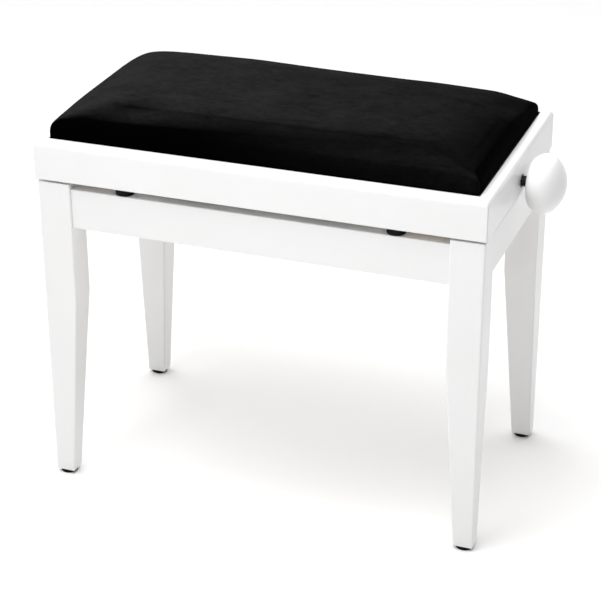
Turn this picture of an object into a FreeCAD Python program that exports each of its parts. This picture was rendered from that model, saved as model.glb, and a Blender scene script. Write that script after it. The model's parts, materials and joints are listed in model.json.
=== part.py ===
"""Height-adjustable piano bench: lacquered wooden base and seat frame, steel scissor lift, screw spindle with
a hand knob, and a loose upholstered seat pad. Millimetres, +Z up, seat length along X, seat depth along Y.

The parts are modelled about the middle of the base, and every part is then shifted along X so that the
origin lies on the floor under the middle of the whole bench, knob included. The seat is at its lowest."""

import FreeCAD, Part
import math
import os

V = FreeCAD.Vector
X, Y, Z = V(1, 0, 0), V(0, 1, 0), V(0, 0, 1)

# ---- driving dimensions --------------------------------------------------------------------------------
seat_length = 550.0
seat_depth = 308.0
frame_top = 451.0             # top of the wooden seat frame, seat at its lowest
frame_height = 47.8
frame_stock = 20.0            # thickness of the seat frame's rails
lip_width = 13.6              # top border left beside the seat pad
top_round = 7.5               # round-over along the frame's outer top edge
edge_soften = 1.5

leg_inset = 1.8               # legs stand this far inside the seat frame's faces
leg_gap = 3.2                 # between the leg tops and the seat frame
leg_width_x, leg_width_y = 41.0, 40.0
foot_width_x, foot_width_y = 24.5, 21.0
knee_height = 247.0           # the inner faces taper below this height
knee_radius = 150.0
leg_soften = 2.0              # rounding of the legs' long edges

rail_top = 393.0
rail_height = 49.7
rail_stock = 20.0
rail_recess = 3.6             # rails stand this far behind the legs' faces

glide_radius, glide_height = 10.5, 4.0
bumper_radius, bumper_x = 11.0, 166.5

board_thickness = 8.0
cover_thickness = 1.2
pad_fit = 0.5                 # gap between the seat pad and the frame's lip
pad_wall_top = 461.0          # the pad's upright side ends here
pad_top = 487.5

lift = 100.0                  # travel of the seat
arm_length = 340.0            # between an arm's end pivots
arm_width, arm_thickness = 20.0, 4.0
pivot_x = 170.0               # fixed pivots of the scissor, at the knob's end
base_pivot_z, seat_pivot_z = 375.0, 417.0
pivot_radius = 5.0
running = 0.05                # radial clearance of a pivot in its hole
open_clearance = 1.0          # radial clearance where the scissor's linkage closes on itself
steel = 3.0

spindle_radius = 6.0
neck_radius = 5.0
knob_radius = 35.0
knob_thickness = 45.0
knob_gap = 7.0                # between the seat frame's end face and the knob's back
knob_rim = 18.5               # radius of the knob's round rim, seen from the side
knob_widest = 0.44            # where the knob is widest, as a share of its thickness

# ---- derived places ------------------------------------------------------------------------------------
half_length, half_depth = seat_length / 2, seat_depth / 2
frame_bottom = frame_top - frame_height
leg_top = frame_bottom - leg_gap
rail_bottom = rail_top - rail_height
leg_face_x, leg_face_y = half_length - leg_inset, half_depth - leg_inset
leg_inner_x, leg_inner_y = leg_face_x - leg_width_x, leg_face_y - leg_width_y
rail_face_x, rail_face_y = leg_face_x - rail_recess, leg_face_y - rail_recess
rail_inner_x, rail_inner_y = rail_face_x - rail_stock, rail_face_y - rail_stock
frame_inner_x, frame_inner_y = half_length - frame_stock, half_depth - frame_stock
ledge_z = frame_top - 13.0    # the pad rests on this ledge inside the frame
opening_x, opening_y = half_length - lip_width, half_depth - lip_width
pad_x, pad_y = opening_x - pad_fit, opening_y - pad_fit
board_z = ledge_z + cover_thickness

rest_angle = math.asin((seat_pivot_z - base_pivot_z) / arm_length)
raised_angle = math.asin((seat_pivot_z - base_pivot_z + lift) / arm_length)
slide_x = pivot_x - arm_length * math.cos(rest_angle)
raised_slide_x = pivot_x - arm_length * math.cos(raised_angle)
middle_x = (pivot_x + slide_x) / 2
middle_z = (base_pivot_z + seat_pivot_z) / 2
angle_half_length = 184.0     # the steel angles reach this far each side of the middle
arm_gap = 1.2
lower_angle_y = rail_inner_y - steel
outer_arm_y = lower_angle_y - arm_gap - arm_thickness
inner_arm_y = outer_arm_y - 1.0 - arm_thickness
upper_angle_y = frame_inner_y - steel
angle_leg = 22.0

knob_back = half_length + knob_gap
knob_tip = knob_back + knob_thickness
shift_x = -knob_gap / 2 - knob_thickness / 2

CORNERS = [(-1, -1), (1, -1), (-1, 1), (1, 1)]


# ---- helpers -------------------------------------------------------------------------------------------
def box(x0, x1, y0, y1, z0, z1):
    low = V(min(x0, x1), min(y0, y1), min(z0, z1))
    return Part.makeBox(abs(x1 - x0), abs(y1 - y0), abs(z1 - z0), low)


def rod(start, end, radius):
    return Part.makeCylinder(radius, (end - start).Length, start, end - start)


def tube(start, end, outer, inner):
    return rod(start, end, outer).cut(rod(start, end, inner))


def prism(points, direction):
    """A solid from a closed outline of points, pushed along a direction."""
    outline = Part.makePolygon(points + points[:1])
    return Part.Face(outline).extrude(direction)


def group(shapes):
    return Part.makeCompound(shapes)


def flip_y(shape):
    return shape.mirror(V(0, 0, 0), Y)


def placed(shape, point, direction):
    """A shape made along +Z at the origin, moved to a point and turned to a direction."""
    copy = shape.copy()
    copy.Placement = FreeCAD.Placement(point, FreeCAD.Rotation(Z, direction))
    return copy


def edges_along(shape, direction, keep):
    """Straight edges parallel to a direction whose middle point passes a test."""
    found = []
    for edge in shape.Edges:
        ends = [vertex.Point for vertex in edge.Vertexes]
        if len(ends) == 2 and edge.Curve.TypeId == "Part::GeomLine":
            along = (ends[1] - ends[0]).normalize()
            if abs(abs(along.dot(direction)) - 1) < 1e-6 and keep((ends[0] + ends[1]) * 0.5):
                found.append(edge)
    return found


def screw_hole(head_radius, shank_radius, length):
    """The space that a countersunk screw fills: its head's face at the origin, its shank along +Z."""
    head = Part.makeCone(head_radius, shank_radius, head_radius - shank_radius)
    shank = Part.makeCylinder(shank_radius, length - shank_radius)
    tip = Part.makeCone(shank_radius, 0.3, shank_radius, V(0, 0, length - shank_radius))
    return head.fuse([shank, tip]).removeSplitter()


def wood_screw(head_radius, shank_radius, length):
    """Countersunk screw with a cross recess in its head."""
    arm, half_slot, depth = head_radius * 0.55, 0.4, 1.2
    cross = [
        box(-arm, arm, -half_slot, half_slot, -1, depth),
        box(-half_slot, half_slot, -arm, arm, -1, depth),
    ]
    return screw_hole(head_radius, shank_radius, length).cut(cross)


def fasten(places, head_radius, shank_radius, length):
    """Screws at (point, direction) places, and the holes that they fill."""
    screw = wood_screw(head_radius, shank_radius, length)
    hole = screw_hole(head_radius, shank_radius, length)
    screws = [placed(screw, point, direction) for point, direction in places]
    return screws, [placed(hole, point, direction) for point, direction in places]


def flip_all(shapes):
    return shapes + [flip_y(shape) for shape in shapes]


def hex_prism(across_flats, height):
    radius = across_flats / math.sqrt(3)
    turns = [math.radians(60 * k) for k in range(6)]
    return prism([V(radius * math.cos(a), radius * math.sin(a), 0) for a in turns], V(0, 0, height))


# ---- wooden base ---------------------------------------------------------------------------------------
def tapered_side(foot, top, depth):
    """Side view of a leg, pushed along Y: outer face upright, inner face tapered below a soft knee."""
    knee, foot_point = V(top, 0, knee_height), V(foot, 0, glide_height)
    down = (foot_point - knee).normalize()
    half_turn = down.getAngle(-Z) / 2
    reach = knee_radius * math.tan(half_turn)
    inward = (Z + down).normalize()
    arc_middle = knee + inward * (knee_radius / math.cos(half_turn) - knee_radius)
    start, end = knee + Z * reach, knee + down * reach
    corners = [foot_point, V(0, 0, glide_height), V(0, 0, leg_top), V(top, 0, leg_top), start]
    lines = [Part.makeLine(a, b) for a, b in zip(corners, corners[1:])]
    arc = Part.Arc(start, arc_middle, end).toShape()
    return Part.Face(Part.Wire(lines + [arc, Part.makeLine(end, foot_point)])).extrude(Y * depth)


def leg_blank():
    """Leg with its outer corner at the origin, reaching along +X and +Y."""
    side_x = tapered_side(foot_width_x, leg_width_x, leg_width_y)
    side_y = tapered_side(foot_width_y, leg_width_y, leg_width_x)
    side_y.rotate(V(0, 0, 0), Z, 90)
    side_y.translate(V(leg_width_x, 0, 0))
    blank = side_x.common(side_y)
    blank = blank.makeFillet(leg_soften, [e for e in blank.Edges if e.BoundBox.ZLength > 5])
    rim = [e for e in blank.Edges if e.BoundBox.ZMax < glide_height + 0.01]
    return blank.makeChamfer(1.2, rim)


def make_legs(bolts, dowels):
    legs = {}
    blank = leg_blank()
    for sx, sy in CORNERS:
        leg = blank.copy()
        leg = leg.mirror(V(0, 0, 0), X) if sx > 0 else leg
        leg = leg.mirror(V(0, 0, 0), Y) if sy > 0 else leg
        leg.translate(V(sx * leg_face_x, sy * leg_face_y, 0))
        name = "leg_%s_%s" % ("front" if sy < 0 else "rear", "left" if sx < 0 else "right")
        legs[name] = leg.cut(bolts + dowels)
    return legs


def make_base_rails(cutters):
    rails = {}
    for name, sy in (("base_rail_front", -1), ("base_rail_rear", 1)):
        rail = box(-leg_inner_x, leg_inner_x, sy * rail_face_y, sy * rail_inner_y, rail_bottom, rail_top)
        edges = edges_along(rail, X, lambda p: True)
        rails[name] = rail.makeFillet(1.0, edges).cut(cutters)
    for name, sx in (("base_rail_left", -1), ("base_rail_right", 1)):
        rail = box(sx * rail_face_x, sx * rail_inner_x, -leg_inner_y, leg_inner_y, rail_bottom, rail_top)
        edges = edges_along(rail, Y, lambda p: True)
        rails[name] = rail.makeFillet(1.0, edges).cut(cutters)
    return rails


def make_rail_dowels():
    """Two dowels in each of the eight joints between a rail and a leg."""
    dowels = []
    dowel_radius, reach = 4.0, 16.0
    for sx, sy in CORNERS:
        for z in (rail_bottom + 14, rail_top - 14):
            along_x = V(sx * leg_inner_x, sy * (rail_face_y - rail_stock / 2), z)
            along_y = V(sx * (rail_face_x - rail_stock / 2), sy * leg_inner_y, z)
            dowels.append(rod(along_x - X * sx * reach, along_x + X * sx * reach, dowel_radius))
            dowels.append(rod(along_y - Y * sy * reach, along_y + Y * sy * reach, dowel_radius))
    return dowels


brace_stock, brace_gap = 18.0, 1.0
brace_low, brace_high = rail_bottom + 6, rail_top - 5
bolt_radius, bolt_reach = 3.0, 26.0
bolt_heights = (brace_low + 9, brace_high - 9)
washer_height, nut_height = 1.5, 5.0


def make_corner_braces(bolts):
    """A wooden brace across each inner corner of the base, on the two rails and clear of the leg."""
    braces = []
    outer = leg_inner_x + leg_inner_y - brace_gap * math.sqrt(2)
    inner = outer - brace_stock * math.sqrt(2)
    for sx, sy in CORNERS:
        outline = [(outer - rail_inner_y, rail_inner_y), (inner - rail_inner_y, rail_inner_y),
                   (rail_inner_x, inner - rail_inner_x), (rail_inner_x, outer - rail_inner_x)]
        points = [V(sx * x, sy * y, brace_low) for x, y in outline]
        braces.append(prism(points, V(0, 0, brace_high - brace_low)).cut(bolts))
    return braces


def make_leg_fasteners():
    """Two hanger bolts through each brace into the leg's inner corner, each with a washer and a nut."""
    bolts, washers, nuts = [], [], []
    nut = hex_prism(10.0, nut_height).cut(Part.makeCylinder(bolt_radius, nut_height))
    for sx, sy in CORNERS:
        outward = V(sx, sy, 0).normalize()
        for z in bolt_heights:
            corner = V(sx * leg_inner_x, sy * leg_inner_y, z)
            face = corner - outward * (brace_gap + brace_stock)
            end = face - outward * (washer_height + nut_height + 3)
            bolts.append(rod(end, corner + outward * bolt_reach, bolt_radius))
            washers.append(tube(face - outward * washer_height, face, 8.0, bolt_radius + running))
            nuts.append(placed(nut, face - outward * (washer_height + nut_height), outward))
    return bolts, washers, nuts


def make_feet():
    """Round glides under the legs, each on a nail whose head is sunk in the glide."""
    glides, nails = [], []
    for sx, sy in CORNERS:
        centre = V(sx * (leg_face_x - foot_width_x / 2), sy * (leg_face_y - foot_width_y / 2), 0)
        nail = rod(centre + Z * 1.2, centre + Z * 24, 1.3).fuse(rod(centre + Z * 1.2, centre + Z * 2.2, 3.5))
        pad = rod(centre, centre + Z * glide_height, glide_radius)
        rim = [e for e in pad.Edges if e.BoundBox.ZMax < 0.01]
        hollow = rod(centre, centre + Z * 1.2, 3.5)
        glides.append(pad.makeFillet(1.0, rim).cut([hollow, nail]))
        nails.append(nail)
    return glides, nails


def make_bumpers():
    """Rubber buffers on the front and rear rails, which the seat frame rests on when it is down."""
    height, sunk = frame_bottom - rail_top, 5.0
    feet = [V(sx * bumper_x, sy * (rail_face_y - bumper_radius), rail_top) for sx, sy in CORNERS]
    screws, holes = fasten([(foot + Z * (height - sunk), -Z) for foot in feet], 4.0, 1.8, 26.0)
    bumpers = []
    for foot in feet:
        pad = rod(foot, foot + Z * height, bumper_radius)
        rims = [e for e in pad.Edges if e.Curve.TypeId == "Part::GeomCircle"]
        well = rod(foot + Z * (height - sunk), foot + Z * height, 4.6)
        bumpers.append(pad.makeFillet(1.0, rims).cut([well] + holes))
    return bumpers, screws, holes


# ---- seat frame ----------------------------------------------------------------------------------------
def make_frame_rails(cutters):
    """Four mitred rails with a rounded outer top edge, and a ledge inside for the seat pad."""
    ring = box(-half_length, half_length, -half_depth, half_depth, frame_bottom, frame_top)
    ring = ring.makeFillet(edge_soften, edges_along(ring, Z, lambda p: True))
    ring = ring.makeFillet(top_round, [e for e in ring.Edges if e.BoundBox.ZMin > frame_top - 0.01])
    opening = box(-opening_x, opening_x, -opening_y, opening_y, ledge_z, frame_top + 1)
    well = box(-frame_inner_x, frame_inner_x, -frame_inner_y, frame_inner_y, frame_bottom - 1, frame_top)
    ring = ring.cut([opening, well] + cutters)
    rails = {}
    reach = seat_length
    half = half_length - half_depth
    height = V(0, 0, frame_top + 1)
    for name, side in (("seat_rail_front", -1), ("seat_rail_rear", 1)):
        far = side * reach
        wedge = [V(-half, 0, 0), V(half, 0, 0), V(half + reach, far, 0), V(-half - reach, far, 0)]
        rails[name] = ring.common(prism(wedge, height))
    for name, side in (("seat_rail_left", -1), ("seat_rail_right", 1)):
        far = side * (half + reach)
        wedge = [V(side * half, 0, 0), V(far, reach, 0), V(far, -reach, 0)]
        rails[name] = ring.common(prism(wedge, height))
    return rails


block_leg, block_low = 56.0, ledge_z - 18.0


def make_seat_blocks(cutters):
    """Triangular wooden blocks glued into the seat frame's inner corners, flush with the ledge."""
    blocks = []
    for sx, sy in CORNERS:
        points = [V(sx * frame_inner_x, sy * frame_inner_y, block_low),
                  V(sx * (frame_inner_x - block_leg), sy * frame_inner_y, block_low),
                  V(sx * frame_inner_x, sy * (frame_inner_y - block_leg), block_low)]
        blocks.append(prism(points, V(0, 0, ledge_z - block_low)).cut(cutters))
    return blocks


def make_seat_screws():
    """Screws up through the corner blocks into the seat board."""
    length = ledge_z - block_low + cover_thickness + board_thickness - 1.5
    out_x = frame_inner_x - block_leg * 0.36
    out_y = frame_inner_y - block_leg * 0.36
    places = [(V(sx * out_x, sy * out_y, block_low), Z) for sx, sy in CORNERS]
    return fasten(places, 3.6, 1.7, length)


# ---- seat pad ------------------------------------------------------------------------------------------
def pad_body(inset, low):
    """Pillow-shaped solid of the pad, its whole surface drawn in by an inset above a lower plane."""
    levels = [(low, 0.0), (pad_wall_top, 0.0), (pad_wall_top + 9, 4.0), (pad_wall_top + 17, 16.0),
              (pad_wall_top + 23, 42.0), (pad_top, 92.0)]
    sections = []
    for height, draw in levels:
        half_x, half_y = pad_x - inset - draw, pad_y - inset - draw * 0.75
        z = height if height == low else height - inset
        corners = [V(-half_x, -half_y, z), V(half_x, -half_y, z), V(half_x, half_y, z), V(-half_x, half_y, z)]
        sections.append(Part.makePolygon(corners + corners[:1]))
    return Part.makeLoft(sections, True, True)


def make_pad(cutters):
    """Plywood seat board, foam block, and the cover drawn over both and under the board's edge."""
    inset = cover_thickness
    board_x, board_y = pad_x - inset, pad_y - inset
    board = box(-board_x, board_x, -board_y, board_y, board_z, board_z + board_thickness)
    foam = pad_body(inset, board_z + board_thickness)
    hollow = pad_body(inset, board_z)
    hem = 26.0
    window = box(hem - pad_x, pad_x - hem, hem - pad_y, pad_y - hem, ledge_z - 1, board_z)
    cover = pad_body(0.0, ledge_z).cut([hollow, window] + cutters)
    return board.cut(cutters), foam, cover


def make_staples():
    """Staples through the cover's hem into the seat board, all round its underside."""
    staples = []
    line_x, line_y = pad_x - 19.0, pad_y - 19.0
    crown, wire, leg = 10.0, 0.6, 5.0
    columns = [line_x * k / 5 for k in range(-4, 5)]
    rows = [line_y * k / 3 for k in (-2, 0, 2)]
    places = [(x, sy * line_y, X) for x in columns for sy in (-1, 1)]
    places += [(sx * line_x, y, Y) for y in rows for sx in (-1, 1)]
    for x, y, along in places:
        size = V(wire, wire, wire) + along * crown
        low = V(x, y, ledge_z - wire) - size * 0.5
        low.z = ledge_z - wire
        staple = Part.makeBox(size.x, size.y, wire, low)
        for end in (-1, 1):
            foot = V(x, y, 0) + along * (end * crown / 2)
            staple = staple.fuse(box(foot.x - wire / 2, foot.x + wire / 2, foot.y - wire / 2,
                                     foot.y + wire / 2, ledge_z - wire, ledge_z + leg))
        staples.append(staple.removeSplitter())
    return staples


# ---- scissor lift --------------------------------------------------------------------------------------
angle_screw_x = (-100.0, 0.0, 100.0)
slot_half = pivot_radius + open_clearance
slot_spare = 2.5


def angle_holes(z):
    """Across the whole bench: the pivot hole, and the slot in which the sliding rod's end travels."""
    hole = rod(V(pivot_x, -seat_depth, z), V(pivot_x, seat_depth, z), pivot_radius + running)
    ends = (slide_x - slot_spare, raised_slide_x + slot_spare)
    slot = [rod(V(x, -seat_depth, z), V(x, seat_depth, z), slot_half) for x in ends]
    slot.append(box(ends[0], ends[1], -seat_depth, seat_depth, z - slot_half, z + slot_half))
    return [hole] + slot


def make_angle(face_y, low, high, shelf_z, holes, screw_holes):
    """Front steel angle: upright leg against a wooden rail, level leg pointing into the bench."""
    upright = box(-angle_half_length, angle_half_length, -face_y - steel, -face_y, low, high)
    level = box(-angle_half_length, angle_half_length, -face_y - steel, angle_leg - face_y - steel,
                shelf_z, shelf_z + steel)
    return upright.fuse(level).removeSplitter().cut(holes + screw_holes)


def make_angle_screws(face_y, z):
    """Countersunk screws through the front angle's upright leg into the wooden rail."""
    return fasten([(V(x, -face_y, z), -Y) for x in angle_screw_x], 3.8, 1.7, 18.0)


def make_arm(start, end, y, middle_hole):
    """Flat bar with round ends between two pivots; y is its face nearest the middle of the bench."""
    push = V(0, -arm_thickness, 0)
    along = (end - start).normalize()
    across = V(-along.z, 0, along.x) * (arm_width / 2)
    base = V(0, -y, 0)
    corners = [start + across, end + across, end - across, start - across]
    bar = prism([base + corner for corner in corners], push)
    for point in (start, end):
        bar = bar.fuse(Part.makeCylinder(arm_width / 2, arm_thickness, base + point, push))
    middle = (start + end) * 0.5
    holes = [(start, pivot_radius + running), (end, pivot_radius + running), (middle, middle_hole)]
    cutters = [Part.makeCylinder(radius, arm_thickness, base + point, push) for point, radius in holes]
    return bar.removeSplitter().cut(cutters)


def cross_rod(x, z):
    """Round bar across the bench, through the arms and into both lower angles."""
    half = rail_inner_y - 0.4
    bar = rod(V(x, -half, z), V(x, half, z), pivot_radius)
    return bar.makeChamfer(0.8, [e for e in bar.Edges if e.Curve.TypeId == "Part::GeomCircle"])


def spacers(x, z, near, far, outer):
    """A ring round a pivot, front and rear, between two distances from the bench's middle plane."""
    ring = tube(V(x, -far, z), V(x, -near, z), outer, pivot_radius + running)
    return [ring, flip_y(ring)]


def make_cross_nut():
    """Thick bar with a bore for the spindle through its middle and thin ends that run in the seat's slots."""
    body_radius, body_half = 11.0, outer_arm_y - 2.0
    end = upper_angle_y + steel - 0.4
    bar = rod(V(slide_x, -body_half, seat_pivot_z), V(slide_x, body_half, seat_pivot_z), body_radius)
    ends = rod(V(slide_x, -end, seat_pivot_z), V(slide_x, end, seat_pivot_z), pivot_radius)
    bore = spindle_radius + open_clearance
    hole = rod(V(slide_x - 20, 0, seat_pivot_z), V(slide_x + 20, 0, seat_pivot_z), bore)
    flats = [box(slide_x + side * 9, slide_x + side * 20, -16, 16, seat_pivot_z - 20, seat_pivot_z + 20)
             for side in (-1, 1)]
    return bar.fuse(ends).removeSplitter().cut([hole] + flats)


def make_shoulder_bolt():
    """Front pivot of the arms that hang from the seat: head inside, shank through the arm and the angle."""
    head_y, head_height, socket_depth = inner_arm_y - 0.2, 4.5, 2.5
    face = V(pivot_x, head_height - head_y, seat_pivot_z)
    under_head = V(pivot_x, -head_y, seat_pivot_z)
    head = rod(face, under_head, 8.5)
    rim = [e for e in head.Edges if e.BoundBox.YMin > face.y - 0.1]
    shank = rod(under_head, V(pivot_x, 0.3 - frame_inner_y, seat_pivot_z), pivot_radius)
    socket = placed(hex_prism(6.0, socket_depth), face, -Y)
    return head.makeFillet(1.0, rim).fuse(shank).removeSplitter().cut(socket)


def make_middle_rivet():
    """Front rivet joining the two arms: fixed in the outer one, loose in the inner one."""
    head_y = inner_arm_y - 0.2
    head = rod(V(middle_x, -head_y + 3, middle_z), V(middle_x, -head_y, middle_z), 9.0)
    rim = [e for e in head.Edges if e.BoundBox.YMin > -head_y + 2.9]
    shank_end = V(middle_x, -outer_arm_y - arm_thickness, middle_z)
    shank = rod(V(middle_x, -head_y, middle_z), shank_end, pivot_radius)
    return head.makeFillet(1.5, rim).fuse(shank).removeSplitter()


# ---- spindle and knob ----------------------------------------------------------------------------------
plate_inner_x = frame_inner_x - steel
spindle_start = slide_x - 24.0
collar_radius = 6.3
bush_radius = 8.5


def on_axis(x):
    return V(x, 0, seat_pivot_z)


def make_spindle():
    """Screw rod with a thinner neck through the seat frame and an end inside the knob."""
    screw = rod(on_axis(spindle_start), on_axis(plate_inner_x - 0.3), spindle_radius)
    screw = screw.makeChamfer(1.5, [e for e in screw.Edges if e.BoundBox.XMax < spindle_start + 0.01])
    neck = rod(on_axis(plate_inner_x - 0.3), on_axis(knob_back + 2.5), neck_radius)
    end = rod(on_axis(knob_back + 2.5), on_axis(knob_back + 28), neck_radius - 1)
    return screw.fuse([neck, end]).removeSplitter()


def dome(rim_centre, apex):
    """Arc from a round rim to an apex on the X axis, tangent to the rim, and the point where they meet."""
    reach = abs(apex.x - rim_centre.x)
    radius = (reach ** 2 + rim_centre.y ** 2 - knob_rim ** 2) / (2 * (reach - knob_rim))
    side = 1 if apex.x > rim_centre.x else -1
    centre = V(apex.x - side * radius, 0, 0)
    turn = math.asin(rim_centre.y / (radius - knob_rim))
    on_arc = [centre + V(side * math.cos(a), math.sin(a), 0) * radius for a in (turn, turn / 2)]
    return Part.Arc(on_arc[0], on_arc[1], apex).toShape(), on_arc[0]


def make_knob(cutters):
    """Turned knob: a round rim between a domed front and a flatter domed back, bored for the spindle."""
    rim_centre = V(knob_back + knob_thickness * knob_widest, knob_radius - knob_rim, 0)
    tip, back = V(knob_tip, 0, 0), V(knob_back, 0, 0)
    front_arc, front_meet = dome(rim_centre, tip)
    back_arc, back_meet = dome(rim_centre, back)
    rim_arc = Part.Arc(front_meet, rim_centre + Y * knob_rim, back_meet).toShape()
    outline = Part.Wire([front_arc, rim_arc, back_arc, Part.makeLine(back, tip)])
    knob = Part.Face(outline).revolve(V(0, 0, 0), X, 360)
    knob.translate(V(0, 0, seat_pivot_z))
    return knob.cut(cutters)


def make_plate_screws():
    return fasten([(V(plate_inner_x, side * 22.0, seat_pivot_z + 3), X) for side in (-1, 1)], 3.4, 1.6, 15.0)


def make_bearing_plate(screw_holes):
    plate = box(plate_inner_x, frame_inner_x, -30, 30, frame_bottom + 1, frame_bottom + 27)
    plate = plate.makeFillet(4.0, edges_along(plate, X, lambda p: True))
    hole = rod(on_axis(plate_inner_x - 1), on_axis(frame_inner_x + 1), neck_radius + running)
    return plate.cut([hole] + screw_holes)


# ---- all the pieces ------------------------------------------------------------------------------------
def base_pieces():
    dowels = make_rail_dowels()
    bolts, washers, nuts = make_leg_fasteners()
    glides, nails = make_feet()
    bumpers, bumper_screws, bumper_holes = make_bumpers()
    front_screws, front_holes = make_angle_screws(lower_angle_y, base_pivot_z - 5)
    angle = make_angle(lower_angle_y, base_pivot_z - 17, base_pivot_z + 14, base_pivot_z - 17,
                       angle_holes(base_pivot_z), front_holes)
    pieces = make_legs(bolts, dowels + nails)
    pieces.update(make_base_rails(dowels + bumper_holes + flip_all(front_holes)))
    pieces.update({
        "rail_dowels": group(dowels),
        "corner_braces": group(make_corner_braces(bolts)),
        "leg_bolts": group(bolts),
        "leg_washers": group(washers),
        "leg_nuts": group(nuts),
        "foot_glides": group(glides),
        "glide_nails": group(nails),
        "rubber_bumpers": group(bumpers),
        "bumper_screws": group(bumper_screws),
        "lower_angle_front": angle,
        "lower_angle_rear": flip_y(angle),
        "lower_angle_screws": group(flip_all(front_screws)),
    })
    return pieces


def seat_pieces():
    seat_screws, seat_holes = make_seat_screws()
    plate_screws, plate_holes = make_plate_screws()
    front_screws, front_holes = make_angle_screws(upper_angle_y, seat_pivot_z - 5)
    angle = make_angle(upper_angle_y, frame_bottom + 1, ledge_z - 6, ledge_z - 6 - steel,
                       angle_holes(seat_pivot_z), front_holes)
    bush_hole = rod(on_axis(frame_inner_x - 1), on_axis(half_length + 1), bush_radius)
    bush = tube(on_axis(frame_inner_x), on_axis(half_length), bush_radius, neck_radius + running)
    bolt = make_shoulder_bolt()
    staples = make_staples()
    board, foam, cover = make_pad(seat_holes + staples)
    spacer_ends = (inner_arm_y + arm_thickness + 0.2, upper_angle_y)
    pieces = make_frame_rails(flip_all(front_holes) + plate_holes + [bush_hole])
    pieces.update({
        "seat_corner_blocks": group(make_seat_blocks(seat_holes)),
        "seat_board_screws": group(seat_screws),
        "seat_board": board,
        "seat_foam": foam,
        "seat_cover": cover,
        "cover_staples": group(staples),
        "upper_angle_front": angle,
        "upper_angle_rear": flip_y(angle),
        "upper_angle_screws": group(flip_all(front_screws)),
        "upper_pivot_bolts": group(flip_all([bolt])),
        "upper_pivot_spacers": group(spacers(pivot_x, seat_pivot_z, *spacer_ends, 7.5)),
        "bearing_plate": make_bearing_plate(plate_holes),
        "bearing_plate_screws": group(plate_screws),
        "spindle_bush": bush,
    })
    return pieces


def lift_pieces():
    base_pivot, seat_pivot = V(pivot_x, 0, base_pivot_z), V(pivot_x, 0, seat_pivot_z)
    base_slide, seat_slide = V(slide_x, 0, base_pivot_z), V(slide_x, 0, seat_pivot_z)
    outer_arm = make_arm(base_pivot, seat_slide, outer_arm_y, pivot_radius)
    inner_arm = make_arm(seat_pivot, base_slide, inner_arm_y, pivot_radius + open_clearance)
    rivet = make_middle_rivet()
    spacer_ends = (inner_arm_y + arm_thickness + 0.2, rail_inner_y - steel - 0.2)
    return {
        "outer_arm_front": outer_arm,
        "outer_arm_rear": flip_y(outer_arm),
        "base_pivot_rod": cross_rod(pivot_x, base_pivot_z),
        "middle_rivets": group([rivet, flip_y(rivet)]),
        "inner_arm_front": inner_arm,
        "inner_arm_rear": flip_y(inner_arm),
        "base_slide_rod": cross_rod(slide_x, base_pivot_z),
        "slide_rod_spacers": group(spacers(slide_x, base_pivot_z, spacer_ends[0], spacer_ends[1], 8.0)),
        "cross_nut": make_cross_nut(),
    }


def spindle_pieces():
    spindle = make_spindle()
    ring_start = plate_inner_x - 9.5
    collar = tube(on_axis(half_length + 0.3), on_axis(knob_back + 1.5), collar_radius, neck_radius)
    return {
        "spindle": spindle,
        "spindle_lock_ring": tube(on_axis(ring_start), on_axis(plate_inner_x - 0.5), 11.0, spindle_radius),
        "spindle_collar": collar,
        "knob": make_knob([spindle, collar]),
    }


def main():
    os.makedirs("parts", exist_ok=True)
    pieces = {**base_pieces(), **seat_pieces(), **lift_pieces(), **spindle_pieces()}
    for name, shape in pieces.items():
        shape.translate(V(shift_x, 0, 0))
        shape.exportStep("parts/%s.step" % name)
        print(name, len(shape.Solids), "solids", round(shape.Volume / 1000, 2), "cm3", shape.isValid())
    print("rest angle", math.degrees(rest_angle), "raised", math.degrees(raised_angle))
    print("slide", slide_x + shift_x, raised_slide_x + shift_x, "pivot", pivot_x + shift_x, "shift", shift_x)


main()
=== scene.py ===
"""Looks of the height-adjustable piano bench: white lacquered wood, a black velvet seat pad and a zinc-plated
scissor lift. Metres, in the CAD model's own frame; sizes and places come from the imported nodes' boxes."""

import json
import math

import bmesh
import bpy
from mathutils import Matrix, Vector, noise


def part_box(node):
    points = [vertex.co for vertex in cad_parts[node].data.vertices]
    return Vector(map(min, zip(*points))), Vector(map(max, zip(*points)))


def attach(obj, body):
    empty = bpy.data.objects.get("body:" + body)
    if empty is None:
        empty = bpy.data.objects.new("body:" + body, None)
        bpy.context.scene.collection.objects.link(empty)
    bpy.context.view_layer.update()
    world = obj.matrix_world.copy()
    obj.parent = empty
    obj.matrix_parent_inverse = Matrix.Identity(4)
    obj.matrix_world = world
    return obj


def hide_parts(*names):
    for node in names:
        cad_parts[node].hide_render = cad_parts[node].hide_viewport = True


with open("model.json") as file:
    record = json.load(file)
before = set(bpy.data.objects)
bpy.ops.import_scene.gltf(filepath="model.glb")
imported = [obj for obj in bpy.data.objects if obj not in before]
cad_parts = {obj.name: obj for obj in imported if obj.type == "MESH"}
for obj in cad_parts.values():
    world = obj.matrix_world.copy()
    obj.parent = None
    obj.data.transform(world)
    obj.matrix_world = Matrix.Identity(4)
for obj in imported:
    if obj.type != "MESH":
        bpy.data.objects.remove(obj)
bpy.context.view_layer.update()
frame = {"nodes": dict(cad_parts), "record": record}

MM = 0.001
NODES = frame["nodes"]
SCENE = bpy.context.scene


# ---- node helpers --------------------------------------------------------------------------------------
def new_material(name):
    material = bpy.data.materials.new(name)
    material.use_nodes = True
    return material, material.node_tree, material.node_tree.nodes["Principled BSDF"]


def add(tree, kind, inputs=None, **settings):
    """A node with its input defaults and its settings; an input given as a socket is linked."""
    node = tree.nodes.new(kind)
    for key, value in settings.items():
        setattr(node, key, value)
    for key, value in (inputs or {}).items():
        if isinstance(value, bpy.types.NodeSocket):
            tree.links.new(value, node.inputs[key])
        else:
            node.inputs[key].default_value = value
    return node


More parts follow.
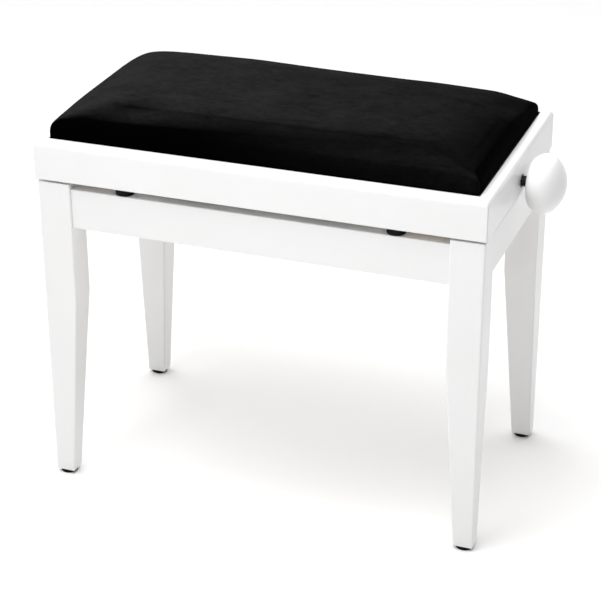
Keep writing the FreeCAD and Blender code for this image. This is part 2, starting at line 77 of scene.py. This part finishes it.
def stretched(tree, scale=(1, 1, 1)):
    """Position on the object in metres, scaled along each axis."""
    where = add(tree, "ShaderNodeTexCoord").outputs["Object"]
    return add(tree, "ShaderNodeMapping", {"Vector": where, "Scale": scale}).outputs["Vector"]


def cloudy(tree, where, scale, detail=3.0, rough=0.5, distortion=0.0):
    return add(tree, "ShaderNodeTexNoise", {
        "Vector": where, "Scale": scale, "Detail": detail, "Roughness": rough, "Distortion": distortion,
    }).outputs["Fac"]


def remap(tree, value, low, high, to_low, to_high):
    return add(tree, "ShaderNodeMapRange", {
        "Value": value, "From Min": low, "From Max": high, "To Min": to_low, "To Max": to_high,
    }).outputs["Result"]


def blend_colour(tree, share, first, second):
    return add(tree, "ShaderNodeMix", {0: share, 6: first, 7: second}, data_type="RGBA").outputs[2]


def combine(tree, operation, first, second):
    return add(tree, "ShaderNodeMath", {0: first, 1: second}, operation=operation).outputs[0]


def raise_surface(tree, height, distance, normal=None):
    """Bump of a given height in metres, on top of another normal if there is one."""
    inputs = {"Height": height, "Distance": distance, "Strength": 1.0}
    if normal is not None:
        inputs["Normal"] = normal
    return add(tree, "ShaderNodeBump", inputs).outputs["Normal"]


def soft_edges(tree, radius):
    """A normal that runs round each edge, and how near the surface is to an edge, from 0 to 1."""
    rounded = add(tree, "ShaderNodeBevel", {"Radius": radius}, samples=6).outputs["Normal"]
    flat = add(tree, "ShaderNodeNewGeometry").outputs["Normal"]
    facing = add(tree, "ShaderNodeVectorMath", {0: rounded, 1: flat}, operation="DOT_PRODUCT")
    return rounded, remap(tree, facing.outputs["Value"], 0.995, 0.85, 0.0, 1.0)


def grey(level):
    return (level, level, level, 1.0)


def set_sockets(shader, **values):
    for key, value in values.items():
        shader.inputs[key.replace("_", " ")].default_value = value


def wear(tree, shader, colour, roughness, normal):
    tree.links.new(colour, shader.inputs["Base Color"])
    tree.links.new(roughness, shader.inputs["Roughness"])
    tree.links.new(normal, shader.inputs["Normal"])


# ---- materials -----------------------------------------------------------------------------------------
GRAIN = {"x": (0.05, 1, 1), "y": (1, 0.05, 1), "z": (1, 1, 0.05)}


def white_lacquer(axis):
    """Satin sprayed lacquer on wood: slight orange peel, a trace of grain, thinner and duller along edges."""
    material, tree, shader = new_material("white_lacquer_" + axis)
    where = stretched(tree)
    grain = cloudy(tree, stretched(tree, GRAIN[axis]), 420, 4, 0.6)
    peel = cloudy(tree, where, 520, 2)
    clouds = cloudy(tree, where, 9, 3)
    rounded, edge = soft_edges(tree, 1.2 * MM)
    scuff = combine(tree, "MULTIPLY", edge, remap(tree, cloudy(tree, where, 160, 5), 0.45, 0.7, 0, 1))
    colour = blend_colour(tree, clouds, (0.75, 0.75, 0.745, 1), (0.79, 0.79, 0.79, 1))
    colour = blend_colour(tree, remap(tree, grain, 0.3, 0.75, 0, 0.25), colour, (0.81, 0.81, 0.805, 1))
    colour = blend_colour(tree, remap(tree, scuff, 0, 1, 0, 0.35), colour, (0.64, 0.63, 0.61, 1))
    satin = remap(tree, clouds, 0.3, 0.7, 0.30, 0.38)
    roughness = combine(tree, "ADD", satin, remap(tree, scuff, 0, 1, 0, 0.2))
    normal = raise_surface(tree, peel, 0.035 * MM, rounded)
    normal = raise_surface(tree, grain, 0.03 * MM, normal)
    wear(tree, shader, colour, roughness, normal)
    set_sockets(shader, Coat_Weight=0.25, Coat_Roughness=0.22, IOR=1.5)
    return material


def bare_wood(axis):
    """Planed beech: fine long grain with short dark flecks."""
    material, tree, shader = new_material("bare_wood_" + axis)
    along = stretched(tree, GRAIN[axis])
    bands = cloudy(tree, along, 110, 6, 0.65, 0.6)
    finer = stretched(tree, [share * 3 for share in GRAIN[axis]])
    flecks = remap(tree, cloudy(tree, finer, 900, 1), 0.66, 0.74, 0, 1)
    rounded, edge = soft_edges(tree, 0.8 * MM)
    banding = remap(tree, bands, 0.3, 0.7, 0, 1)
    colour = blend_colour(tree, banding, (0.62, 0.40, 0.22, 1), (0.74, 0.54, 0.34, 1))
    colour = blend_colour(tree, remap(tree, flecks, 0, 1, 0, 0.55), colour, (0.33, 0.18, 0.09, 1))
    colour = blend_colour(tree, remap(tree, edge, 0, 1, 0, 0.4), colour, (0.47, 0.31, 0.18, 1))
    roughness = remap(tree, bands, 0.3, 0.7, 0.5, 0.68)
    wear(tree, shader, colour, roughness, raise_surface(tree, bands, 0.12 * MM, rounded))
    set_sockets(shader, Specular_IOR_Level=0.35)
    return material


def plywood():
    """Sanded plywood: veneer grain on its faces, thin light and dark layers on its edges."""
    material, tree, shader = new_material("plywood")
    veneer = cloudy(tree, stretched(tree, GRAIN["x"]), 70, 6, 0.65, 1.2)
    height = add(tree, "ShaderNodeSeparateXYZ", {0: stretched(tree)}).outputs["Z"]
    layer = combine(tree, "MULTIPLY", height, math.tau / (2.6 * MM))
    layer = remap(tree, combine(tree, "SINE", layer, 0.0), -0.4, 0.4, 0, 1)
    facing = add(tree, "ShaderNodeSeparateXYZ", {0: add(tree, "ShaderNodeNewGeometry").outputs["Normal"]})
    side = remap(tree, combine(tree, "ABSOLUTE", facing.outputs["Z"], 0.0), 0.6, 0.4, 0, 1)
    grain = remap(tree, veneer, 0.3, 0.7, 0, 1)
    colour = blend_colour(tree, grain, (0.60, 0.43, 0.26, 1), (0.74, 0.58, 0.39, 1))
    layers = blend_colour(tree, layer, (0.36, 0.22, 0.12, 1), (0.70, 0.54, 0.36, 1))
    colour = blend_colour(tree, side, colour, layers)
    roughness = remap(tree, veneer, 0.3, 0.7, 0.55, 0.75)
    wear(tree, shader, colour, roughness, raise_surface(tree, veneer, 0.15 * MM))
    set_sockets(shader, Specular_IOR_Level=0.3)
    return material


def zinc_steel():
    """Bright zinc plating over rolled steel: faint spangle, fine draw lines, duller handled edges."""
    material, tree, shader = new_material("zinc_steel")
    where = stretched(tree)
    lines = cloudy(tree, stretched(tree, GRAIN["x"]), 1400, 2)
    spangle = add(tree, "ShaderNodeTexVoronoi", {"Vector": where, "Scale": 420.0}).outputs["Color"]
    spangle = add(tree, "ShaderNodeSeparateColor", {0: spangle}).outputs[0]
    stain = cloudy(tree, where, 38, 5, 0.6)
    rounded, edge = soft_edges(tree, 0.5 * MM)
    colour = blend_colour(tree, spangle, (0.55, 0.56, 0.57, 1), (0.62, 0.62, 0.63, 1))
    colour = blend_colour(tree, remap(tree, stain, 0.5, 0.75, 0, 0.25), colour, (0.44, 0.43, 0.40, 1))
    colour = blend_colour(tree, remap(tree, edge, 0, 1, 0, 0.5), colour, (0.78, 0.78, 0.78, 1))
    dulled = remap(tree, stain, 0.3, 0.7, 0.24, 0.42)
    roughness = combine(tree, "ADD", dulled, remap(tree, lines, 0.3, 0.7, 0, 0.1))
    wear(tree, shader, colour, roughness, raise_surface(tree, lines, 0.02 * MM, rounded))
    set_sockets(shader, Metallic=1.0)
    return material


def black_rubber():
    """Moulded rubber, matt and faintly dusty on its corners."""
    material, tree, shader = new_material("black_rubber")
    where = stretched(tree)
    pores = cloudy(tree, where, 1800, 3)
    dust = cloudy(tree, where, 120, 5, 0.65)
    rounded, edge = soft_edges(tree, 0.6 * MM)
    dusting = remap(tree, dust, 0.4, 0.8, 0, 0.6)
    colour = blend_colour(tree, dusting, (0.003, 0.003, 0.0035, 1), (0.014, 0.0135, 0.013, 1))
    colour = blend_colour(tree, remap(tree, edge, 0, 1, 0, 0.3), colour, (0.02, 0.02, 0.02, 1))
    roughness = remap(tree, dust, 0.3, 0.7, 0.62, 0.82)
    wear(tree, shader, colour, roughness, raise_surface(tree, pores, 0.06 * MM, rounded))
    set_sockets(shader, Specular_IOR_Level=0.12)
    return material


def black_plastic():
    """Turned black nylon with faint rings round the spindle's axis."""
    material, tree, shader = new_material("black_plastic")
    where = stretched(tree)
    rings = cloudy(tree, stretched(tree, (1, 0.02, 0.02)), 2600, 1)
    clouds = cloudy(tree, where, 200, 3)
    rounded, edge = soft_edges(tree, 0.4 * MM)
    colour = blend_colour(tree, clouds, (0.003, 0.003, 0.0035, 1), (0.007, 0.007, 0.0075, 1))
    colour = blend_colour(tree, remap(tree, edge, 0, 1, 0, 0.4), colour, (0.02, 0.02, 0.02, 1))
    roughness = remap(tree, rings, 0.3, 0.7, 0.32, 0.48)
    wear(tree, shader, colour, roughness, raise_surface(tree, rings, 0.03 * MM, rounded))
    set_sockets(shader, Specular_IOR_Level=0.2)
    return material


def black_velvet():
    """Short velvet, near black, with painted sheen in its colour: lighter on faces turned up, back and to the
    left and towards the left end, and on the front slope towards the right end; painted shade, near black, on
    the other slopes. Random patches, marks and streaks of the pile on top.
    """
    material, tree, shader = new_material("black_velvet")
    where = stretched(tree)
    place = add(tree, "ShaderNodeSeparateXYZ", {0: where}).outputs
    normal = add(tree, "ShaderNodeNewGeometry").outputs["Normal"]
    # painted sheen: colour lighter where the surface faces up, back and to the left, where the light falls
    painted_sheen_facing = add(tree, "ShaderNodeVectorMath", {0: normal, 1: (-0.30, 0.35, 0.89)}, operation="DOT_PRODUCT")
    patches = cloudy(tree, stretched(tree, (1, 1.3, 1)), 24, 6, 0.68, 0.7)
    marks = cloudy(tree, stretched(tree, (0.6, 1, 1)), 120, 5, 0.65, 1.0)
    streaks = cloudy(tree, stretched(tree, (0.12, 1, 1)), 420, 3, 0.6)
    pile = cloudy(tree, where, 1700, 2)
    # painted shade: the painted sheen fades from the left end to the right end, away from the light
    along = remap(tree, place["X"], PAD_LOW.x, PAD_HIGH.x, 1.05, 0.5)
    painted_sheen = combine(tree, "MULTIPLY", remap(tree, painted_sheen_facing.outputs["Value"], 0.68, 0.93, 0, 1), along)
    # painted sheen on the front slope, lighter towards the right end
    facing_y = add(tree, "ShaderNodeSeparateXYZ", {0: normal}).outputs["Y"]
    sloping = remap(tree, facing_y, -0.1, -0.35, 0, 1)
    slope = combine(tree, "MULTIPLY", sloping, remap(tree, facing_y, -0.8, -0.5, 0.6, 1))
    front_right = combine(tree, "MULTIPLY", slope, remap(tree, place["X"], PAD_LOW.x, PAD_HIGH.x, -0.2, 0.36))
    painted_sheen = combine(tree, "MAXIMUM", painted_sheen, front_right)
    patchy = remap(tree, patches, 0.3, 0.7, 0.7, 1.2)
    mottle = combine(tree, "ADD", patchy, remap(tree, marks, 0.3, 0.7, -0.24, 0.24))
    mottle = combine(tree, "ADD", mottle, remap(tree, streaks, 0.3, 0.7, -0.14, 0.14))
    mottle = combine(tree, "ADD", mottle, remap(tree, pile, 0.3, 0.7, -0.25, 0.25))
    # painted sheen and shade, times the random mottle of the pile
    painted_sheen_and_mottle = combine(tree, "MULTIPLY", painted_sheen, mottle)
    colour = blend_colour(tree, painted_sheen_and_mottle, (0.0005, 0.0005, 0.0006, 1), (0.0152, 0.0152, 0.0159, 1))
    roughness = remap(tree, painted_sheen_and_mottle, 0, 1, 0.95, 0.8)
    height = combine(tree, "ADD", combine(tree, "MULTIPLY", streaks, 0.6), pile)
    height = combine(tree, "ADD", height, combine(tree, "MULTIPLY", marks, 1.2))
    wear(tree, shader, colour, roughness, raise_surface(tree, height, 0.25 * MM))
    set_sockets(shader, Specular_IOR_Level=0.0)
    set_sockets(shader, Sheen_Weight=0.012, Sheen_Roughness=0.32, Sheen_Tint=grey(0.9))
    return material


def pale_floor():
    material, tree, shader = new_material("pale_floor")
    clouds = cloudy(tree, stretched(tree), 2.5, 2)
    colour = blend_colour(tree, clouds, (0.90, 0.90, 0.90, 1), (0.92, 0.92, 0.92, 1))
    tree.links.new(colour, shader.inputs["Base Color"])
    set_sockets(shader, Roughness=0.8, Specular_IOR_Level=0.1)
    return material


def dress(names, material):
    """Gives CAD nodes one material in every slot."""
    for name in names:
        mesh = NODES[name].data
        mesh.materials.clear()
        mesh.materials.append(material)


def dress_frame():
    """Gives every wooden, rubber, plastic and steel node its material, and returns the steel."""
    lacquer = {axis: white_lacquer(axis) for axis in "xyz"}
    wood = {axis: bare_wood(axis) for axis in "xz"}
    along_x = ["base_rail_front", "base_rail_rear", "seat_rail_front", "seat_rail_rear", "knob"]
    along_y = ["base_rail_left", "base_rail_right", "seat_rail_left", "seat_rail_right"]
    upright = ["leg_front_left", "leg_front_right", "leg_rear_left", "leg_rear_right"]
    dress(along_x, lacquer["x"])
    dress(along_y, lacquer["y"])
    dress(upright, lacquer["z"])
    dress(["rail_dowels", "seat_corner_blocks"], wood["x"])
    dress(["corner_braces"], wood["z"])
    dress(["seat_board"], plywood())
    dress(["foot_glides", "rubber_bumpers"], black_rubber())
    dress(["spindle_bush", "spindle_collar"], black_plastic())
    steel = zinc_steel()
    slot_of = {part["node"]: part["material_slot"] for part in frame["record"]["subparts"]}
    dress([name for name, slot in slot_of.items() if slot == "zinc_steel"], steel)
    return steel


# ---- mesh helpers --------------------------------------------------------------------------------------
def mesh_object(name, points, faces, material, smooth=True):
    mesh = bpy.data.meshes.new(name)
    mesh.from_pydata(points, [], faces)
    mesh.validate()
    mesh.update()
    for polygon in mesh.polygons:
        polygon.use_smooth = smooth
    mesh.materials.append(material)
    piece = bpy.data.objects.new(name, mesh)
    SCENE.collection.objects.link(piece)
    return piece


def outward(piece):
    """Turns every face of a closed mesh outwards."""
    work = bmesh.new()
    work.from_mesh(piece.data)
    bmesh.ops.recalc_face_normals(work, faces=work.faces)
    work.to_mesh(piece.data)
    work.free()


def apply_modifiers(piece):
    """Replaces the piece's mesh by what its modifiers make of it."""
    graph = bpy.context.evaluated_depsgraph_get()
    made = bpy.data.meshes.new_from_object(piece.evaluated_get(graph))
    piece.modifiers.clear()
    piece.data = made


# ---- seat pad ------------------------------------------------------------------------------------------
PAD_LOW, PAD_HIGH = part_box("seat_cover")
BOARD_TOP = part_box("seat_board")[1].z
FRAME_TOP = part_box("seat_rail_front")[1].z
PAD_CENTRE = (PAD_LOW + PAD_HIGH) / 2
PAD_HALF = (PAD_HIGH - PAD_LOW) / 2
WALL_TOP = FRAME_TOP + 12 * MM           # the upright side ends here at the corners
BELLY = 8 * MM                           # and stands this much higher between them
SAT_ON = 7 * MM                          # how far the most used corner, at the rear right, has sunk
TOP = PAD_HIGH.z - 1 * MM                # height of the middle before the pad is filled
SLOPE_X, SLOPE_Y = 95 * MM, 72 * MM      # how far in from the pad's ends and sides the crown still rises
CORNER = 8 * MM                          # how near a corner the pad's outline is drawn square
HEM = 26 * MM                            # width of the cover turned under the board
VOXEL = 5 * MM                           # mesh size of the pad that is filled
SWELL = 3.5 * MM                         # most that filling may move a point
FILL_FRAMES = 20                         # frames of the cloth simulation
FOLD_ROUNDS = 18                         # rounds of averaging that turn creases into soft folds


def rise(distance, reach):
    """Share of the crown's height at a distance in from the edge: steep at first, then nearly level."""
    left = 1 - min(max(distance / reach, 0.0), 1.0)
    return max(1 - left ** 2, 0.0) ** (1 / 2.3)


def ease(value, start, end):
    """Smooth step from 0 at start to 1 at end."""
    t = min(max((value - start) / (end - start), 0.0), 1.0)
    return t * t * (3 - 2 * t)


def crown_height(x, y):
    """Height of the pad's top at a point measured from its middle."""
    along, across = x / PAD_HALF.x, y / PAD_HALF.y
    share_x = max(rise(PAD_HALF.x - abs(x), SLOPE_X), 1e-3)
    share_y = max(rise(PAD_HALF.y - abs(y), SLOPE_Y), 1e-3)
    share = (share_x ** -5 + share_y ** -5 - 1) ** (-1 / 5)
    swell = 1 - 0.4 * ease(along, -0.4, 0.5) + 0.35 * ease(-along, 0.0, 0.6) * ease(across, -1.0, 0.8)
    wall = WALL_TOP + BELLY * swell * (1 - abs(along * across) ** 5)
    sunk = SAT_ON * ease(along, 0.78, 0.98) * ease(across, 0.2, 0.9)
    sunk += SAT_ON * 0.35 * ease(-along, 0.86, 1.0) * ease(across, 0.78, 1.0)
    return wall + (TOP - wall) * share - sunk * (1 - 0.6 * ease(share, 0.6, 1.0))


def spaced(half, count):
    """Places from -half to half, closer together near both ends."""
    steps = [2 * k / count - 1 for k in range(count + 1)]
    return [half * math.copysign(1 - (1 - abs(s)) ** 1.6, s) for s in steps]


def pad_blank():
    """Closed pad before it is filled: crowned top, upright sides, flat underside on the board."""
    columns, rows = spaced(PAD_HALF.x, 96), spaced(PAD_HALF.y, 64)
    points = [(PAD_CENTRE.x + x, PAD_CENTRE.y + y, crown_height(x, y)) for y in rows for x in columns]
    wide, deep = len(columns), len(rows)
    faces = [(r * wide + c, r * wide + c + 1, (r + 1) * wide + c + 1, (r + 1) * wide + c)
             for r in range(deep - 1) for c in range(wide - 1)]
    rim = list(range(wide))
    rim += [r * wide + wide - 1 for r in range(1, deep)]
    rim += [(deep - 1) * wide + c for c in range(wide - 2, -1, -1)]
    rim += [r * wide for r in range(deep - 2, 0, -1)]
    foot = len(points)
    points += [(points[k][0], points[k][1], BOARD_TOP + 0.2 * MM) for k in rim]
    count = len(rim)
    for k in range(count):
        after = (k + 1) % count
        faces.append((rim[after], rim[k], foot + k, foot + after))
    faces.append(tuple(foot + k for k in reversed(range(count))))
    return points, faces


def hold_group(piece):
    """Vertex group that holds the pad where the wooden frame and the board hold it."""
    group = piece.vertex_groups.new(name="held")
    free = WALL_TOP + 8 * MM
    for vertex in piece.data.vertices:
        share = (free - vertex.co.z) / (free - FRAME_TOP - 4 * MM)
        group.add([vertex.index], min(max(share, 0.0), 1.0), "REPLACE")
    return group


def eased(mesh, shifts, rounds):
    """Movements of a mesh's points, averaged with their neighbours' so that creases become soft folds."""
    pairs = [tuple(edge.vertices) for edge in mesh.edges]
    for _ in range(rounds):
        total, count = [shift.copy() for shift in shifts], [1] * len(shifts)
        for a, b in pairs:
            total[a] += shifts[b]
            total[b] += shifts[a]
            count[a] += 1
            count[b] += 1
        shifts = [whole / number for whole, number in zip(total, count)]
    return shifts


def fill_with_pressure(piece, most):
    """Swells the pad by cloth simulation and keeps each point within a distance of where it began."""
    start = [vertex.co.copy() for vertex in piece.data.vertices]
    cloth = piece.modifiers.new("fill", "CLOTH")
    settings = cloth.settings
    settings.quality = 6
    settings.mass = 0.3
    settings.tension_stiffness = 18
    settings.compression_stiffness = 18
    settings.shear_stiffness = 8
    settings.bending_stiffness = 1.5
    settings.use_pressure = True
    settings.uniform_pressure_force = 4.0
    settings.vertex_group_mass = hold_group(piece).name
    settings.effector_weights.gravity = 0.0
    cloth.collision_settings.use_collision = False
    for step in range(1, FILL_FRAMES + 1):
        SCENE.frame_set(step)
    graph = bpy.context.evaluated_depsgraph_get()
    moved = [vertex.co.copy() for vertex in piece.evaluated_get(graph).data.vertices]
    piece.modifiers.clear()
    SCENE.frame_set(1)
    shifts = [after - before for before, after in zip(start, moved)]
    shifts = [shift * min(1.0, most / max(shift.length, 1e-9)) for shift in shifts]
    for vertex, before, shift in zip(piece.data.vertices, start, eased(piece.data, shifts, FOLD_ROUNDS)):
        vertex.co = before + shift


def squared(point):
    """Moves a point near one of the pad's upright corners outwards, so that the corner stays crisp."""
    offset = point - PAD_CENTRE
    a = 1 - (PAD_HALF.x - abs(offset.x)) / CORNER
    b = 1 - (PAD_HALF.y - abs(offset.y)) / CORNER
    if min(a, b) > 0.01:
        out = math.hypot(a, b) / (a ** 6 + b ** 6) ** (1 / 6)
        point.x = PAD_CENTRE.x + math.copysign(PAD_HALF.x - (1 - a * out) * CORNER, offset.x)
        point.y = PAD_CENTRE.y + math.copysign(PAD_HALF.y - (1 - b * out) * CORNER, offset.y)


def keep_in_frame(point):
    """Draws a point of the pad back inside the wooden opening, and above it only just over the lip."""
    spare = 0.0 if point.z < FRAME_TOP + 0.5 * MM else 0.35 * MM
    reach = Vector((PAD_HALF.x + spare, PAD_HALF.y + spare))
    point.x = min(max(point.x, PAD_CENTRE.x - reach.x), PAD_CENTRE.x + reach.x)
    point.y = min(max(point.y, PAD_CENTRE.y - reach.y), PAD_CENTRE.y + reach.y)
    point.z = max(point.z, BOARD_TOP + 0.2 * MM)


def make_cushion(velvet):
    """Foam and cover as one filled pad, in place of the two CAD solids."""
    points, faces = pad_blank()
    cushion = mesh_object("seat_cushion", points, faces, velvet)
    outward(cushion)
    remesh = cushion.modifiers.new("even", "REMESH")
    remesh.mode = "VOXEL"
    remesh.voxel_size = VOXEL
    apply_modifiers(cushion)
    fill_with_pressure(cushion, SWELL)
    smooth = cushion.modifiers.new("smooth", "SUBSURF")
    smooth.levels = 1
    smooth.render_levels = 1
    apply_modifiers(cushion)
    for vertex in cushion.data.vertices:
        squared(vertex.co)
        keep_in_frame(vertex.co)
    for polygon in cushion.data.polygons:
        polygon.use_smooth = True
    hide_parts("seat_cover", "seat_foam")
    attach(cushion, "seat")


def make_hem(velvet):
    """The cover's lower edge: down the board's sides, round its edge and a little way under it."""
    low, high = PAD_LOW.z + 0.1 * MM, FRAME_TOP - 0.2 * MM
    thin = 0.9 * MM
    profile = [(0.3 * MM, high), (0.3 * MM, low + 0.6 * MM), (0.9 * MM, low), (HEM, low), (HEM, low + thin),
               (0.3 * MM + thin, low + thin), (0.3 * MM + thin, high)]
    steps = 40
    ring = []
    for side_x, side_y, to_x, to_y in ((-1, -1, 1, -1), (1, -1, 1, 1), (1, 1, -1, 1), (-1, 1, -1, -1)):
        for k in range(steps):
            t = k / steps
            ring.append((side_x + (to_x - side_x) * t, side_y + (to_y - side_y) * t))
    points = []
    for sx, sy in ring:
        uneven = 1 + 0.05 * noise.noise(Vector((sx * 9, sy * 6, 1.5)))
        for inset, z in profile:
            drawn = inset * uneven if inset == HEM else inset
            x = PAD_CENTRE.x + sx * (PAD_HALF.x - drawn)
            y = PAD_CENTRE.y + sy * (PAD_HALF.y - drawn)
            points.append((x, y, z))
    count, wide = len(ring), len(profile)
    faces = [(r * wide + c, r * wide + (c + 1) % wide, (r + 1) % count * wide + (c + 1) % wide,
              (r + 1) % count * wide + c) for r in range(count) for c in range(wide)]
    hem = mesh_object("cover_hem", points, faces, velvet, smooth=False)
    outward(hem)
    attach(hem, "seat")


# ---- spindle -------------------------------------------------------------------------------------------
THREAD_PITCH, THREAD_DEPTH = 3 * MM, 1.1 * MM
KNOB_SEAT = 26 * MM                      # length of the thinner end that the knob sits on


def turned(stations, sides):
    """Points and faces of a closed turned body along X from (x, radius) stations."""
    points, faces = [], []
    for x, radius in stations:
        for k in range(sides):
            turn = math.tau * k / sides
            points.append((x, radius * math.cos(turn), radius * math.sin(turn)))
    for s in range(len(stations) - 1):
        for k in range(sides):
            after = (k + 1) % sides
            faces.append((s * sides + k, s * sides + after, (s + 1) * sides + after, (s + 1) * sides + k))
    faces.append(tuple(reversed(range(sides))))
    last = (len(stations) - 1) * sides
    faces.append(tuple(last + k for k in range(sides)))
    return points, faces


def thread_ridge(start, end, outer):
    """Closed right-hand screw ridge along X, rising from the core at one end and sinking back at the other."""
    steps = 24
    total = round((end - start) / THREAD_PITCH * steps)
    points, faces = [], []
    for k in range(total + 1):
        fade = min(k / steps, (total - k) / steps, 1.0)
        crest = outer - THREAD_DEPTH * 1.1 * (1 - fade)
        root = outer - THREAD_DEPTH * 1.35
        x, turn = start + THREAD_PITCH * k / steps, math.tau * k / steps
        for offset, radius in ((-1.25, root), (-0.45, crest), (0.45, crest), (1.25, root)):
            points.append((x + offset * MM, radius * math.cos(turn), radius * math.sin(turn)))
    for k in range(total):
        for side in range(4):
            after = (side + 1) % 4
            faces.append((4 * k + side, 4 * k + after, 4 * k + 4 + after, 4 * k + 4 + side))
    faces += [(3, 2, 1, 0), (4 * total, 4 * total + 1, 4 * total + 2, 4 * total + 3)]
    return points, faces


def make_spindle(steel):
    """Threaded spindle with the CAD spindle's ends and diameters, in its place."""
    low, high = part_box("spindle")
    ring_low, ring_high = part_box("spindle_lock_ring")
    outer = (high.z - low.z) / 2
    core, neck = outer - THREAD_DEPTH, outer - 1 * MM
    neck_start = ring_high.x + 0.2 * MM
    stations = [(low.x, core - 1.5 * MM), (low.x + 1.5 * MM, core), (ring_low.x, core),
                (ring_low.x + 0.1 * MM, outer), (neck_start, outer), (neck_start + 0.1 * MM, neck),
                (high.x - KNOB_SEAT, neck), (high.x - KNOB_SEAT + 0.1 * MM, neck - 1 * MM),
                (high.x - 0.5 * MM, neck - 1 * MM), (high.x, neck - 1.5 * MM)]
    points, faces = turned(stations, 32)
    ridge_points, ridge_faces = thread_ridge(low.x + 2.5 * MM, ring_low.x - 1 * MM, outer)
    first = len(points)
    points += ridge_points
    faces += [tuple(first + k for k in face) for face in ridge_faces]
    axis = Vector((0, (low.y + high.y) / 2, (low.z + high.z) / 2))
    points = [Vector(point) + axis for point in points]
    spindle = mesh_object("spindle_screw", points, faces, steel, smooth=False)
    outward(spindle)
    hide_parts("spindle")
    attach(spindle, "spindle")


# ---- studio --------------------------------------------------------------------------------------------
BASE_LOW, BASE_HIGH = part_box("leg_front_left")[0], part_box("leg_rear_right")[1]
MIDDLE = Vector(((BASE_LOW.x + BASE_HIGH.x) / 2, (BASE_LOW.y + BASE_HIGH.y) / 2, 0))
AZIMUTH, ELEVATION, ROLL = math.radians(20.12), math.radians(26.07), math.radians(-0.15)
CAMERA_DISTANCE, LENS, SENSOR = 2.3353, 112.13, 36.0
AIM = MIDDLE + Vector((2.2, -1.2, 218.2)) * MM
FLOOR_HALF = 60.0
WORLD_STRENGTH = 0.28


def make_camera():
    back = Vector((math.sin(AZIMUTH) * math.cos(ELEVATION), -math.cos(AZIMUTH) * math.cos(ELEVATION),
                   math.sin(ELEVATION)))
    data = bpy.data.cameras.new("camera")
    data.lens, data.sensor_width = LENS, SENSOR
    data.clip_start, data.clip_end = 0.1, 50
    camera = bpy.data.objects.new("camera", data)
    SCENE.collection.objects.link(camera)
    turn = (-back).to_track_quat("-Z", "Y").to_matrix() @ Matrix.Rotation(ROLL, 3, "Z")
    camera.matrix_world = Matrix.Translation(AIM + back * CAMERA_DISTANCE) @ turn.to_4x4()
    SCENE.camera = camera


def aimed(data, azimuth, elevation, distance):
    """Puts a light at an angle round the bench, facing it."""
    a, e = math.radians(azimuth), math.radians(elevation)
    away = Vector((math.sin(a) * math.cos(e), -math.cos(a) * math.cos(e), math.sin(e)))
    light = bpy.data.objects.new(data.name, data)
    light.location = AIM + away * distance
    light.rotation_mode = "QUATERNION"
    light.rotation_quaternion = away.to_track_quat("Z", "Y")
    SCENE.collection.objects.link(light)


def soft_box(name, azimuth, elevation, distance, size, power):
    data = bpy.data.lights.new(name, "AREA")
    data.shape, data.size, data.energy = "SQUARE", size, power
    aimed(data, azimuth, elevation, distance)


def wide_sky(name, azimuth, elevation, strength):
    """A distant light so wide that its shadows are hardly seen."""
    data = bpy.data.lights.new(name, "SUN")
    data.angle, data.energy = math.radians(100), strength
    aimed(data, azimuth, elevation, 3.0)


def make_studio():
    half = FLOOR_HALF
    corners = [(-half, -half, 0), (half, -half, 0), (half, half, 0), (-half, half, 0)]
    floor = mesh_object("floor", corners, [(0, 1, 2, 3)], pale_floor())
    world = bpy.data.worlds.new("studio")
    world.use_nodes = True
    background = world.node_tree.nodes["Background"]
    background.inputs["Color"].default_value = grey(1.0)
    background.inputs["Strength"].default_value = WORLD_STRENGTH
    SCENE.world = world
    soft_box("front_box", -6, 69, 1.3, 1.0, 15.0)
    soft_box("low_box", -12, 6, 2.4, 1.6, 4.0)
    wide_sky("sky_behind", 197, 52, 2.3)
    wide_sky("sky_left", -80, 35, 0.8)
    SCENE.view_settings.view_transform = "Standard"


make_camera()
make_studio()
steel = dress_frame()
velvet = black_velvet()
make_cushion(velvet)
make_hem(velvet)
make_spindle(steel)
